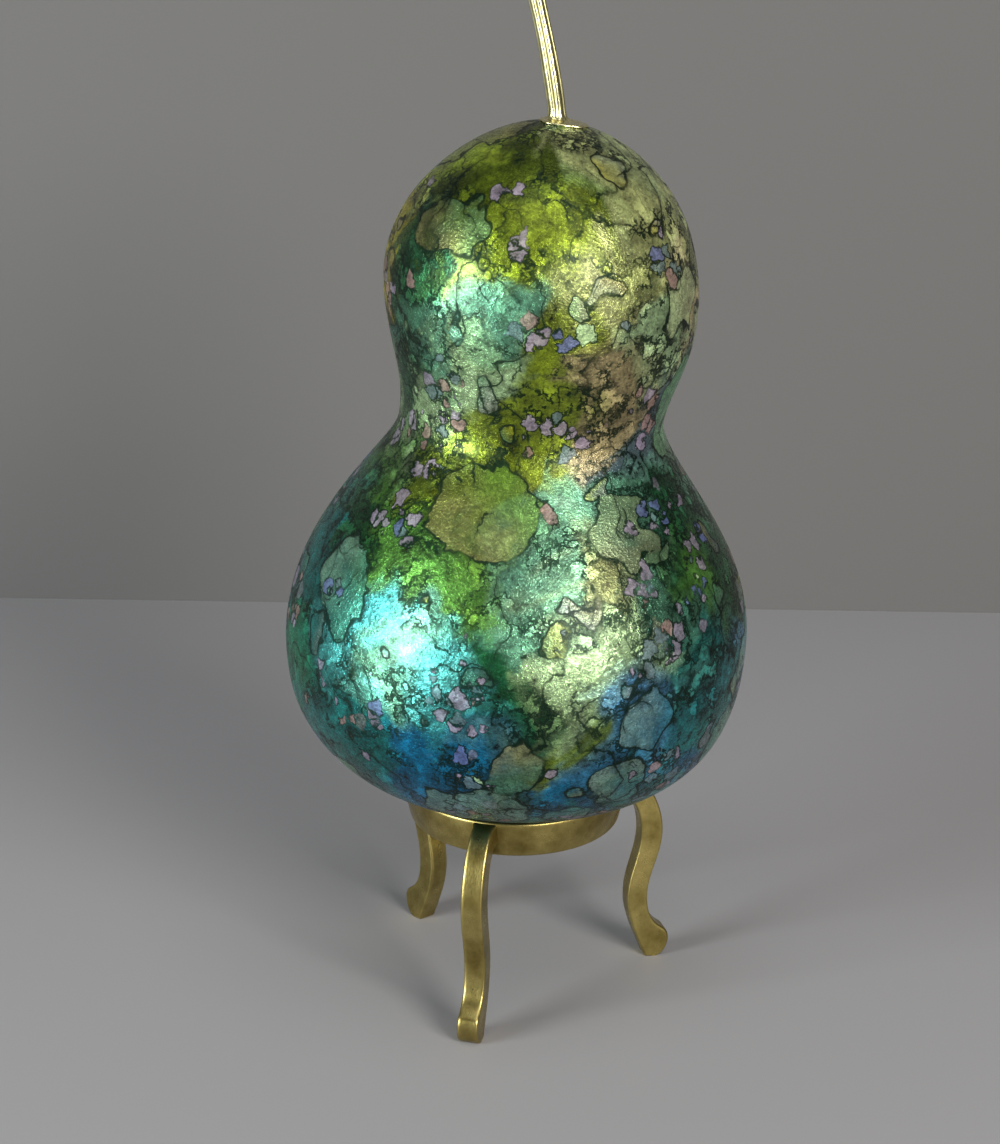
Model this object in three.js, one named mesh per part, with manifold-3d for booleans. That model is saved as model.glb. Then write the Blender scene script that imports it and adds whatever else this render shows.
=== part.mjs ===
// A dried bottle gourd, painted all over, on a three-legged brass ring stand.
// Millimetres, +Z up. The view the object is made for looks along +Y.
// Everything is drawn about the stand ring's axis, with the floor at z = 0, and the
// finished group is then set with the middle of its bounding box over the origin.

import * as THREE from "three";
import { mergeVertices } from "three/addons/utils/BufferGeometryUtils.js";
import Module from "manifold-3d";

const wasm = await Module();
wasm.setup();

// Gap kept between two pieces that touch.
const GAP = 0.3;

// Stand ring: a short plain band, open top and bottom.
const RING = { outerRadius: 25, wall: 2.3, bottom: 40, top: 48.3, edgeRound: 0.6 };

// Gourd: heights of its ends and of its widest and narrowest places, with their radii.
const GOURD = {
  bottom: 46.4,
  belly: { z: 84, r: 50.5 },
  neck: { z: 132.3, r: 28.3 },
  bulb: { z: 160.4, r: 32.9 },
  top: 194.4,
};

// How far each curve of the gourd's side runs straight on from its two ends.
const REACH = {
  base: 42,
  bellyBelow: 19.3,
  bellyAbove: 23.6,
  neckBelow: 7.7,
  neckAbove: 8.4,
  bulbBelow: 13.5,
  bulbAbove: 21.6,
  crown: 13.8,
};

// The gourd's middle wanders to the right as it grows: its offset at seven even heights.
const WANDER = [1.2, -0.2, -0.2, 0.5, 4.2, 3.6, 4.6];

const GOURD_SIDES = 60;
const GOURD_STEPS_PER_CURVE = 13;

// Stem: a ridged stalk that stands a little right of the crown's middle and bends left.
const STEM = {
  root: new THREE.Vector3(6.9, -0.5, 193.6),
  bend: new THREE.Vector3(4.2, -0.5, 213.6),
  tip: new THREE.Vector3(-2.6, -0.5, 233.6),
  radius: 1.75,
  ridges: 8,
  ridgeDepth: 0.18,
  ridgeTurn: -14,
};
const STEM_SIDES = 32;
const STEM_STEPS = 14;

// The stem's flared foot: a thin saucer that lies on the crown.
const FOOT = {
  centre: new THREE.Vector3(7.9, -0.5, 194.1),
  lean: 11,
  radius: 4.9,
  rim: 0.75,
  hollowRadius: 2.8,
  neckHeight: 2.4,
  depth: 1.6,
};

// Legs: square bars bent to an S, set round the ring.
const LEGS = [
  { name: "stand_leg_front", azimuth: -105 },
  { name: "stand_leg_right", azimuth: 15 },
  { name: "stand_leg_back", azimuth: 131 },
];
const LEG_WIDTH = 4.7;
const LEG_CHAMFER = 0.4;
const LEG_STEPS_PER_CURVE = 9;
const LEG_ROOT = { top: 48, bottom: 43.2 };

const brass = new THREE.MeshStandardMaterial({ color: 0xa58a3f, roughness: 0.35, metalness: 1 });
const paint = new THREE.MeshStandardMaterial({ color: 0x4f8f6a, roughness: 0.4, metalness: 0.6 });
const gilt = new THREE.MeshStandardMaterial({ color: 0xc9b458, roughness: 0.25, metalness: 1 });

// Turns a geometry into a solid, keeping only the places of its points.
function toSolid(geometry) {
  const bare = geometry.clone();
  bare.deleteAttribute("normal");
  bare.deleteAttribute("uv");
  const merged = mergeVertices(bare, 1e-4);
  const vertProperties = Float32Array.from(merged.attributes.position.array);
  const triVerts = Uint32Array.from(merged.index.array);
  return new wasm.Manifold(new wasm.Mesh({ numProp: 3, vertProperties, triVerts }));
}

// Turns a solid back into a geometry.
function toGeometry(solid) {
  const mesh = solid.getMesh();
  const geometry = new THREE.BufferGeometry();
  geometry.setAttribute("position", new THREE.BufferAttribute(mesh.vertProperties, 3));
  geometry.setIndex(new THREE.BufferAttribute(mesh.triVerts, 1));
  geometry.computeVertexNormals();
  return geometry;
}

// The gourd's side from its bottom to its top: radius across, height up.
function gourdSide() {
  const { bottom, belly, neck, bulb, top } = GOURD;
  const side = new THREE.Path();
  side.moveTo(0, bottom);
  side.bezierCurveTo(REACH.base, bottom, belly.r, belly.z - REACH.bellyBelow, belly.r, belly.z);
  side.bezierCurveTo(
    belly.r, belly.z + REACH.bellyAbove, neck.r, neck.z - REACH.neckBelow, neck.r, neck.z,
  );
  side.bezierCurveTo(
    neck.r, neck.z + REACH.neckAbove, bulb.r, bulb.z - REACH.bulbBelow, bulb.r, bulb.z,
  );
  side.bezierCurveTo(bulb.r, bulb.z + REACH.bulbAbove, REACH.crown, top, 0, top);
  return side.getPoints(GOURD_STEPS_PER_CURVE);
}

// The side moved outwards, square to itself, by a clearance.
function grown(points, clearance) {
  const last = points.length - 1;
  return points.map((point, i) => {
    const before = points[Math.max(i - 1, 0)];
    const after = points[Math.min(i + 1, last)];
    const along = after.clone().sub(before).normalize();
    const out = new THREE.Vector2(along.y, -along.x).multiplyScalar(clearance);
    if (i === 0) return new THREE.Vector2(0, point.y - clearance);
    if (i === last) return new THREE.Vector2(0, point.y + clearance);
    return point.clone().add(out);
  });
}

// The gourd turned from its side, then moved sideways level by level along its wandering middle.
function gourdGeometry(clearance = 0) {
  const geometry = new THREE.LatheGeometry(grown(gourdSide(), clearance), GOURD_SIDES);
  geometry.rotateX(Math.PI / 2);
  const middle = new THREE.SplineCurve(WANDER.map((x, i) => new THREE.Vector2(i, x)));
  const place = geometry.attributes.position;
  for (let i = 0; i < place.count; i += 1) {
    const share = (place.getZ(i) - GOURD.bottom) / (GOURD.top - GOURD.bottom);
    const level = THREE.MathUtils.clamp(share, 0, 1);
    place.setX(i, place.getX(i) + middle.getPoint(level).y);
  }
  geometry.computeVertexNormals();
  return geometry;
}

// The ridged stalk, swept along its bend and closed at both ends.
function stalkGeometry() {
  const section = new THREE.Shape();
  for (let i = 0; i < STEM_SIDES; i += 1) {
    const angle = (2 * Math.PI * i) / STEM_SIDES;
    const wave = Math.cos(STEM.ridges * (angle - THREE.MathUtils.degToRad(STEM.ridgeTurn)));
    const r = STEM.radius - STEM.ridgeDepth * (0.5 + 0.5 * wave);
    const point = [r * Math.cos(angle), r * Math.sin(angle)];
    if (i === 0) section.moveTo(...point);
    else section.lineTo(...point);
  }
  section.closePath();
  const path = new THREE.QuadraticBezierCurve3(STEM.root, STEM.bend, STEM.tip);
  return new THREE.ExtrudeGeometry(section, { steps: STEM_STEPS, extrudePath: path });
}

// The flared foot: a saucer with a hollow flank that rises to the stalk.
function footGeometry() {
  const half = new THREE.Path();
  half.moveTo(0, -FOOT.depth);
  half.lineTo(FOOT.radius, -FOOT.depth);
  half.lineTo(FOOT.radius, 0);
  half.quadraticCurveTo(FOOT.radius, FOOT.rim, FOOT.radius - FOOT.rim, FOOT.rim);
  half.lineTo(FOOT.hollowRadius, FOOT.rim);
  half.quadraticCurveTo(STEM.radius, FOOT.rim, 0.8 * STEM.radius, FOOT.neckHeight);
  half.lineTo(0, FOOT.neckHeight);
  const geometry = new THREE.LatheGeometry(half.getPoints(4), STEM_SIDES);
  geometry.rotateX(Math.PI / 2);
  geometry.rotateY(THREE.MathUtils.degToRad(FOOT.lean));
  geometry.translate(FOOT.centre.x, FOOT.centre.y, FOOT.centre.z);
  return geometry;
}

// Stalk and foot as one piece, hollowed underneath to sit on the crown.
function stemGeometry() {
  const stem = toSolid(stalkGeometry()).add(toSolid(footGeometry()));
  return toGeometry(stem.subtract(toSolid(gourdGeometry(GAP))));
}

// The band's cross-section, with rounded edges, turned round its axis.
function ringGeometry() {
  const { outerRadius, wall, bottom, top, edgeRound } = RING;
  const inner = outerRadius - wall;
  const section = new THREE.Path();
  const quarter = Math.PI / 2;
  section.absarc(outerRadius - edgeRound, bottom + edgeRound, edgeRound, -quarter, 0);
  section.absarc(outerRadius - edgeRound, top - edgeRound, edgeRound, 0, quarter);
  section.absarc(inner + edgeRound, top - edgeRound, edgeRound, quarter, 2 * quarter);
  section.absarc(inner + edgeRound, bottom + edgeRound, edgeRound, 2 * quarter, 3 * quarter);
  section.closePath();
  const geometry = new THREE.LatheGeometry(section.getPoints(1), 64);
  geometry.rotateX(Math.PI / 2);
  return geometry;
}

// One leg seen from its side: distance from the ring's axis across, height up.
// The outer edge swells to a knee, draws in at a waist and kicks out to a rounded toe;
// the sole is flat, and the inner edge follows the outer one back up to the ring.
function legOutline() {
  const root = RING.outerRadius + GAP;
  const outline = new THREE.Shape();
  outline.moveTo(root, LEG_ROOT.top);
  outline.bezierCurveTo(31, 47.5, 34.9, 38.5, 34.9, 32.3);
  outline.bezierCurveTo(34.9, 26, 31.7, 22, 31.7, 16);
  outline.bezierCurveTo(31.7, 11.5, 33, 9, 36, 7);
  outline.bezierCurveTo(38.3, 5.4, 37, 0.6, 34.6, 0);
  outline.lineTo(31.7, 0);
  outline.bezierCurveTo(29.5, 5.2, 26.9, 10.5, 26.9, 15.6);
  outline.bezierCurveTo(26.9, 22, 29.7, 26, 29.7, 32);
  outline.bezierCurveTo(29.7, 37.5, 27.6, 41.5, root, LEG_ROOT.bottom);
  outline.closePath();
  return outline;
}

// The leg's outline given its width and chamfered edges, standing across the radius.
function legGeometry() {
  const geometry = new THREE.ExtrudeGeometry(legOutline(), {
    depth: LEG_WIDTH - 2 * LEG_CHAMFER,
    curveSegments: LEG_STEPS_PER_CURVE,
    bevelEnabled: true,
    bevelSegments: 1,
    bevelThickness: LEG_CHAMFER,
    bevelSize: LEG_CHAMFER,
    bevelOffset: -LEG_CHAMFER,
  });
  geometry.rotateX(Math.PI / 2);
  geometry.translate(0, LEG_WIDTH / 2 - LEG_CHAMFER, 0);
  return geometry;
}

function named(name, geometry, material) {
  const mesh = new THREE.Mesh(geometry, material);
  mesh.name = name;
  return mesh;
}

const stand = new THREE.Group();
stand.add(named("stand_ring", ringGeometry(), brass));
for (const leg of LEGS) {
  const mesh = named(leg.name, legGeometry(), brass);
  mesh.rotation.z = THREE.MathUtils.degToRad(leg.azimuth);
  stand.add(mesh);
}

const fruit = new THREE.Group();
fruit.add(named("gourd", gourdGeometry(), paint));
fruit.add(named("gourd_stem", stemGeometry(), gilt));

const object = new THREE.Group();
object.add(stand, fruit);

// The origin is the middle of the bounding box, at floor level.
object.updateMatrixWorld(true);
const box = new THREE.Box3().setFromObject(object, true);
const middle = box.getCenter(new THREE.Vector3());
object.position.set(-middle.x, -middle.y, -box.min.z);
object.updateMatrixWorld(true);

export default object;
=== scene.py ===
"""A painted bottle gourd on a three-legged brass ring stand.

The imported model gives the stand's middle and the nodes that the pieces stand for. The gourd, its stem, the
ring and the legs are made again here as fine smooth surfaces of the same form, each a function of two
parameters on a grid, and dressed in marbled metallic inks, pale gilding and aged brass. Sizes are in
millimetres until a mesh is written, and Blender works in metres.
"""

import logging
import math
from dataclasses import dataclass, field
from enum import Enum

import bpy
import numpy as np
from mathutils import Matrix, Vector


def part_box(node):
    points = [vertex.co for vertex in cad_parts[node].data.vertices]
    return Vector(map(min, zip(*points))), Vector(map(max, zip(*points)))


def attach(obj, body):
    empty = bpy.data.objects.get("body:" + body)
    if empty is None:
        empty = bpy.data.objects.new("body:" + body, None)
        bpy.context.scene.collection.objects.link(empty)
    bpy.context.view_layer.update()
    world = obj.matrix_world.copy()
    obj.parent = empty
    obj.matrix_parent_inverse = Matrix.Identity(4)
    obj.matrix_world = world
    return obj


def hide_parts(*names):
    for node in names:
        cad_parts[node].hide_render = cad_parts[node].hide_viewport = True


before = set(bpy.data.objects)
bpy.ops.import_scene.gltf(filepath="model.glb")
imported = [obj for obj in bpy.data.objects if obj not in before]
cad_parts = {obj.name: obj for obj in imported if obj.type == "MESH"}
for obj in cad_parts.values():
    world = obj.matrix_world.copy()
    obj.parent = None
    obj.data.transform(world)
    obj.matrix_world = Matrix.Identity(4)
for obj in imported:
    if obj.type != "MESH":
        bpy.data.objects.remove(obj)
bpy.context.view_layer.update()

log = logging.getLogger("painted_gourd")

MM = 0.001
LEG_AZIMUTHS = {"leg_front": -105, "leg_right": 15, "leg_back": 131}

Corners = tuple[tuple[float, float], ...]
Display = tuple[float, float, float]
Stir = tuple[float, float, int]


class Ink(Enum):
    """The inks on the gourd's skin, as display red, green and blue from 0 to 255."""

    CHARTREUSE = (150, 172, 44)
    OLIVE = (112, 128, 28)
    MOSS = (72, 88, 18)
    GOLD = (168, 158, 20)
    LEAF = (84, 136, 56)
    DEEP_GREEN = (24, 86, 48)
    EMERALD = (24, 126, 88)
    SEA = (96, 152, 122)
    TEAL = (18, 112, 108)
    TURQUOISE = (88, 192, 188)
    BLUE = (6, 104, 142)
    STEEL = (80, 138, 176)
    SAGE = (152, 180, 132)
    MINT = (156, 196, 148)
    TAN = (160, 146, 104)
    KHAKI = (156, 162, 104)
    SLATE = (84, 104, 110)
    LILAC = (130, 116, 136)
    ROSE = (134, 104, 100)
    VIOLET = (84, 92, 142)
    TIDE = (10, 34, 22)


def linear(display: Display) -> np.ndarray:
    """Turns a display colour into light.

    Args:
        display: red, green and blue from 0 to 255.

    Returns:
        The same colour as linear light from 0 to 1.
    """
    share = np.asarray(display, float) / 255
    return np.where(share <= 0.04045, share / 12.92, ((share + 0.055) / 1.055) ** 2.4)


def rgba(display: Display) -> tuple[float, float, float, float]:
    """Gives a display colour as linear light with full opacity."""
    red, green, blue = linear(display)
    return (float(red), float(green), float(blue), 1.0)


def bezier(corners: Corners, count: int) -> np.ndarray:
    """Samples one cubic curve: each corner point weighted by its share of (1 - t) and t, to the third power.

    Args:
        corners: start, first handle, second handle and end.
        count: number of samples, both ends among them.

    Returns:
        The samples, one row each.
    """
    t = np.linspace(0, 1, count)[:, None]
    a, b, c, d = (np.asarray(corner, float) for corner in corners)
    return (1 - t) ** 3 * a + 3 * (1 - t) ** 2 * t * b + 3 * (1 - t) * t**2 * c + t**3 * d


def chain(corners: Corners, count: int) -> np.ndarray:
    """Samples cubic curves that follow one another, with each shared end kept once.

    Args:
        corners: the first start, then two handles and an end for each curve.
        count: samples on each curve.

    Returns:
        The samples of the whole chain, one row each.
    """
    parts = [bezier(corners[k:k + 4], count) for k in range(0, len(corners) - 1, 3)]
    return np.concatenate([parts[0]] + [part[1:] for part in parts[1:]])


def evenly(points: np.ndarray, shares: np.ndarray) -> np.ndarray:
    """Reads a line of points at given shares of its length, by straight steps between neighbours.

    Args:
        points: the line, one row for each point.
        shares: where to read it, from 0 at its start to 1 at its end.

    Returns:
        One row for each share.
    """
    steps = np.linalg.norm(np.diff(points, axis=0), axis=1)
    run = np.concatenate([[0], np.cumsum(steps)])
    columns = [np.interp(shares * run[-1], run, points[:, k]) for k in range(points.shape[1])]
    return np.stack(columns, axis=-1)


def smooth(value: np.ndarray, low: float, high: float) -> np.ndarray:
    """Rises from 0 at low to 1 at high as 3 t squared less 2 t cubed."""
    t = np.clip((value - low) / (high - low), 0, 1)
    return t * t * (3 - 2 * t)


@dataclass(frozen=True)
class Ripple:
    """A smooth wavy field in space: the sum of plane waves with seeded directions and phases."""

    size: float
    seed: int
    waves: int = 18

    def __call__(self, points: np.ndarray) -> np.ndarray:
        """Reads the field.

        Args:
            points: places in millimetres, three numbers in the last axis.

        Returns:
            Values about zero, mostly between -1 and 1.
        """
        draw = np.random.default_rng(self.seed)
        along = draw.normal(size=(self.waves, 3))
        along /= np.linalg.norm(along, axis=1, keepdims=True)
        along *= 2 * np.pi / self.size * draw.uniform(0.6, 1.4, size=(self.waves, 1))
        phase = draw.uniform(0, 2 * np.pi, self.waves)
        return np.cos(points @ along.T + phase).sum(axis=-1) / math.sqrt(self.waves / 2) / 1.6


def stirred(points: np.ndarray, *stirs: Stir) -> np.ndarray:
    """Moves points about by one stir after another, each made of three ripples, one for each axis.

    Args:
        points: places in millimetres.
        stirs: for each, the length of its ripples, how far they move a point, and their seed.

    Returns:
        The moved places.
    """
    for size, reach, seed in stirs:
        points = points + reach * np.stack([Ripple(size, seed + k)(points) for k in range(3)], axis=-1)
    return points


class Surface:
    """A closed skin made of rings of points: each ring joins the next, and each end closes on its middle.

    A looped skin has no ends, because its last ring joins its first.
    """

    def __init__(self, rings: np.ndarray, looped: bool = False) -> None:
        """Keeps the rings.

        Args:
            rings: points in millimetres, indexed by ring, place round the ring and axis.
            looped: whether the last ring joins the first.
        """
        self.rings = rings
        self.looped = looped
        self.point_values: dict[str, np.ndarray] = {}

    def give(self, name: str, values: np.ndarray) -> None:
        """Gives every point a number or a colour, which its material reads by name."""
        self.point_values[name] = values

    def _with_ends(self, values: np.ndarray) -> np.ndarray:
        """Flattens values on the rings and adds the mean of the first and of the last ring, for the ends.

        Args:
            values: a number or a row of them for each point of the rings.

        Returns:
            One row for each vertex.
        """
        width = values.shape[2] if values.ndim == 3 else 1
        flat = values.reshape(-1, width)
        if self.looped:
            return flat
        ends = [values[k].reshape(-1, width).mean(axis=0, keepdims=True) for k in (0, -1)]
        return np.concatenate([flat] + ends)

    def _faces(self, points: np.ndarray) -> tuple[np.ndarray, np.ndarray]:
        """Joins neighbours on two rings into faces of four corners, and closes the ends with faces of three.

        The corners' order is turned round where the enclosed volume comes out negative, so that faces point
        outwards.

        Args:
            points: the vertices.

        Returns:
            The corners of the faces of four and of the faces of three.
        """
        rows, columns = self.rings.shape[:2]
        index = np.arange(rows * columns).reshape(rows, columns)
        after = np.roll(index, -1, axis=1)
        if self.looped:
            above, both = np.roll(index, -1, axis=0), np.roll(after, -1, axis=0)
            quads = np.stack([index, above, both, after], axis=-1).reshape(-1, 4)
            fans = np.zeros((0, 3), int)
        else:
            quads = np.stack([index[:-1], after[:-1], after[1:], index[1:]], axis=-1).reshape(-1, 4)
            low = np.stack([after[0], index[0], np.full(columns, rows * columns)], axis=-1)
            high = np.stack([index[-1], after[-1], np.full(columns, rows * columns + 1)], axis=-1)
            fans = np.concatenate([low, high])
        split = np.concatenate([quads[:, [0, 1, 2]], quads[:, [0, 2, 3]], fans])
        a, b, c = (points[split[:, k]] for k in range(3))
        if np.einsum("ij,ij->i", a, np.cross(b, c)).sum() < 0:
            return quads[:, ::-1], fans[:, ::-1]
        return quads, fans

    def mesh(self, name: str) -> bpy.types.Object:
        """Writes the skin as a mesh object at the origin.

        Args:
            name: name of the piece.

        Returns:
            The new object.
        """
        points = self._with_ends(self.rings)
        quads, fans = self._faces(points)
        data = bpy.data.meshes.new(name)
        data.vertices.add(len(points))
        data.vertices.foreach_set("co", (points * MM).astype(np.float32).ravel())
        loops = np.concatenate([quads.ravel(), fans.ravel()]).astype(np.int32)
        data.loops.add(len(loops))
        data.loops.foreach_set("vertex_index", loops)
        starts = np.concatenate([np.arange(len(quads)) * 4, len(quads) * 4 + np.arange(len(fans)) * 3])
        data.polygons.add(len(starts))
        data.polygons.foreach_set("loop_start", starts.astype(np.int32))
        data.update(calc_edges=True)
        data.validate()
        data.shade_smooth()
        for label, values in self.point_values.items():
            self._write(data, label, values)
        piece = bpy.data.objects.new(name, data)
        bpy.context.scene.collection.objects.link(piece)
        return piece

    def _write(self, data: bpy.types.Mesh, label: str, values: np.ndarray) -> None:
        """Writes one set of point values to a mesh, three columns as a colour and one as a number.

        Args:
            data: the mesh.
            label: name of the attribute.
            values: the values on the rings.
        """
        flat = self._with_ends(values)
        if flat.shape[1] == 1:
            data.attributes.new(label, "FLOAT", "POINT").data.foreach_set("value", flat.ravel())
            return
        colours = np.concatenate([flat, np.ones((len(flat), 1))], axis=1)
        data.attributes.new(label, "FLOAT_COLOR", "POINT").data.foreach_set("color", colours.ravel())


class Number:
    """A number on its way through a material. Writing an expression with it adds the Math nodes."""

    def __init__(self, recipe: "Recipe", socket: bpy.types.NodeSocket) -> None:
        """Keeps the recipe that nodes are added to and the socket that the number comes from."""
        self.recipe = recipe
        self.socket = socket

    def _math(self, operation: str, *terms: "Number | float") -> "Number":
        """Adds one Math node.

        Args:
            operation: the node's operation.
            terms: what goes into it, in order.

        Returns:
            The number that comes out.
        """
        node = self.recipe.node("ShaderNodeMath", {"operation": operation}, dict(enumerate(terms)))
        return Number(self.recipe, node.outputs[0])

    def __add__(self, other: "Number | float") -> "Number":
        """Adds."""
        return self._math("ADD", self, other)

    __radd__ = __add__

    def __sub__(self, other: "Number | float") -> "Number":
        """Takes other away."""
        return self._math("SUBTRACT", self, other)

    def __rsub__(self, other: float) -> "Number":
        """Takes this away from a plain number."""
        return self._math("SUBTRACT", other, self)

    def __mul__(self, other: "Number | float") -> "Number":
        """Multiplies."""
        return self._math("MULTIPLY", self, other)

    __rmul__ = __mul__

    def __abs__(self) -> "Number":
        """Gives the size without the sign."""
        return self._math("ABSOLUTE", self)

    def least(self, other: "Number | float") -> "Number":
        """Gives the smaller of two."""
        return self._math("MINIMUM", self, other)

    def most(self, other: "Number | float") -> "Number":
        """Gives the larger of two."""
        return self._math("MAXIMUM", self, other)

    def rise(self, low: float, high: float) -> "Number":
        """Rises smoothly from 0 where this is low to 1 where it is high, and falls if low is the larger.

        Args:
            low: the value that gives 0.
            high: the value that gives 1.

        Returns:
            The risen number.
        """
        node = self.recipe.node(
            "ShaderNodeMapRange",
            {"interpolation_type": "SMOOTHSTEP"},
            {0: self, 1: min(low, high), 2: max(low, high), 3: float(low > high), 4: float(low <= high)},
        )
        return Number(self.recipe, node.outputs[0])


@dataclass
class Noise:
    """What a noise texture gives: one number about 0.5 and a colour of three."""

    value: Number
    colour: bpy.types.NodeSocket


@dataclass
class Cells:
    """What a cell texture gives: how far its middle and its edge are, three draws and the middle itself."""

    distance: Number
    edge: Number
    draws: tuple[Number, ...]
    middle: bpy.types.NodeSocket


class Recipe:
    """A node material in the making."""

    def __init__(self, name: str) -> None:
        """Starts an empty material.

        Args:
            name: name of the material.
        """
        self.material = bpy.data.materials.new(name)
        self.material.use_nodes = True
        self.tree = self.material.node_tree
        self.tree.nodes.clear()
        coordinates = self.node("ShaderNodeTexCoord", {}, {}).outputs["Object"]
        self.place = self.scaled(coordinates, 1 / MM)

    def node(self, kind: str, settings: dict[str, object], sockets: dict[object, object]) -> bpy.types.Node:
        """Adds a node.

        Args:
            kind: the node's type.
            settings: its settings, set first. A ramp takes its stops as a list of places and colours, each of
                which holds until the next.
            sockets: what goes into its sockets, by name or number: a plain value, a socket or a Number.

        Returns:
            The new node.
        """
        made = self.tree.nodes.new(kind)
        for key, value in settings.items():
            if key == "stops":
                self._set_stops(made.color_ramp, value)
            else:
                setattr(made, key, value)
        for key, value in sockets.items():
            socket = made.inputs[key]
            if isinstance(value, Number):
                value = value.socket
            if isinstance(value, bpy.types.NodeSocket):
                self.tree.links.new(value, socket)
            else:
                socket.default_value = value
        return made

    @staticmethod
    def _set_stops(ramp: bpy.types.ColorRamp, stops: list[tuple[float, tuple]]) -> None:
        """Gives a ramp its stops, with an even colour from each to the next.

        Args:
            ramp: the ramp.
            stops: a place from 0 to 1 and a colour for each.
        """
        ramp.interpolation = "CONSTANT"
        while len(ramp.elements) < len(stops):
            ramp.elements.new(1.0)
        for element, (place, colour) in zip(ramp.elements, stops):
            element.position = place
            element.color = colour

    def read(self, name: str) -> Number:
        """Reads a number that the mesh holds for each point."""
        node = self.node("ShaderNodeAttribute", {"attribute_name": name}, {})
        return Number(self, node.outputs["Fac"])

    def read_colour(self, name: str) -> bpy.types.NodeSocket:
        """Reads a colour that the mesh holds for each point."""
        return self.node("ShaderNodeAttribute", {"attribute_name": name}, {}).outputs["Color"]

    def scaled(self, vector: bpy.types.NodeSocket, factor: float) -> bpy.types.NodeSocket:
        """Multiplies a vector by a plain number."""
        node = self.node("ShaderNodeVectorMath", {"operation": "SCALE"}, {0: vector, "Scale": factor})
        return node.outputs[0]

    def stretched(self, factors: tuple[float, float, float]) -> bpy.types.NodeSocket:
        """Multiplies the place by one plain number for each axis."""
        node = self.node("ShaderNodeVectorMath", {"operation": "MULTIPLY"}, {0: self.place, 1: factors})
        return node.outputs[0]

    def noise(self, vector: bpy.types.NodeSocket, size: float, detail: float, rough: float = 0.5) -> Noise:
        """Adds a noise texture.

        Args:
            vector: where it is read, in millimetres.
            size: size of its largest lumps in millimetres.
            detail: how many times smaller lumps are added.
            rough: how strong the smaller lumps are.

        Returns:
            Its number, about 0.5 on average, and its colour.
        """
        sockets = {"Vector": vector, "Scale": 1 / size, "Detail": detail, "Roughness": rough}
        node = self.node("ShaderNodeTexNoise", {"noise_dimensions": "3D"}, sockets)
        return Noise(Number(self, node.outputs[0]), node.outputs[1])

    def pushed(self, vector: bpy.types.NodeSocket, noise: Noise, reach: float) -> bpy.types.NodeSocket:
        """Pushes a vector about by a noise's colour.

        Args:
            vector: the vector in millimetres.
            noise: what pushes it.
            reach: how far it is pushed, at most.

        Returns:
            The vector plus reach times twice the colour less one half.
        """
        middle = {0: noise.colour, 1: (0.5, 0.5, 0.5)}
        push = self.node("ShaderNodeVectorMath", {"operation": "SUBTRACT"}, middle)
        push = self.scaled(push.outputs[0], 2 * reach)
        return self.node("ShaderNodeVectorMath", {"operation": "ADD"}, {0: vector, 1: push}).outputs[0]

    def cells(self, vector: bpy.types.NodeSocket, size: float) -> Cells:
        """Adds a cell texture, read for its nearest middle and once more for its nearest edge.

        Args:
            vector: where it is read, in millimetres.
            size: mean distance between cells in millimetres.

        Returns:
            The distances in millimetres, and three draws from 0 to 1 and the middle for each cell.
        """
        sockets = {"Vector": vector, "Scale": 1 / size}
        node = self.node("ShaderNodeTexVoronoi", {"feature": "F1"}, sockets)
        edges = self.node("ShaderNodeTexVoronoi", {"feature": "DISTANCE_TO_EDGE"}, sockets)
        split = self.node("ShaderNodeSeparateColor", {}, {0: node.outputs["Color"]})
        return Cells(
            Number(self, node.outputs["Distance"]) * size,
            Number(self, edges.outputs["Distance"]) * size,
            tuple(Number(self, socket) for socket in split.outputs),
            node.outputs["Position"],
        )

    def mixed(
        self, share: Number | float, base: object, top: object, blend: str = "MIX"
    ) -> bpy.types.NodeSocket:
        """Mixes two colours.

        Args:
            share: how much of top shows.
            base: the colour beneath.
            top: the colour above.
            blend: how they mix.

        Returns:
            The mixed colour.
        """
        settings = {"data_type": "RGBA", "blend_type": blend, "clamp_factor": True}
        return self.node("ShaderNodeMix", settings, {0: share, 6: base, 7: top}).outputs[2]

    def picked(self, draw: Number, inks: tuple[Ink, ...], low: float, high: float) -> bpy.types.NodeSocket:
        """Picks one of several inks by a number, in even steps from low to high.

        Args:
            draw: the number.
            inks: the inks.
            low: where the first ink starts.
            high: where the last ink ends.

        Returns:
            The colour.
        """
        step = (high - low) / len(inks)
        stops = [(low + k * step, rgba(ink.value)) for k, ink in enumerate(inks)]
        return self.node("ShaderNodeValToRGB", {"stops": stops}, {0: draw}).outputs[0]

    def toned(self, colour: object, factor: Number) -> bpy.types.NodeSocket:
        """Multiplies a colour by a number."""
        grey = self.node("ShaderNodeCombineColor", {}, {0: factor, 1: factor, 2: factor}).outputs[0]
        return self.mixed(1.0, colour, grey, "MULTIPLY")

    def bumped(self, height: Number, depth: float) -> bpy.types.NodeSocket:
        """Turns a height from 0 to 1 into a bent normal, for a relief so many millimetres deep."""
        sockets = {"Height": height, "Distance": depth * MM, "Strength": 1.0}
        return self.node("ShaderNodeBump", {}, sockets).outputs[0]

    def finish(self, sockets: dict[str, object]) -> bpy.types.Material:
        """Closes the material with one shader.

        Args:
            sockets: what goes into the shader's sockets.

        Returns:
            The finished material.
        """
        shader = self.node("ShaderNodeBsdfPrincipled", {}, sockets)
        self.node("ShaderNodeOutputMaterial", {}, {"Surface": shader.outputs[0]})
        return self.material


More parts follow.
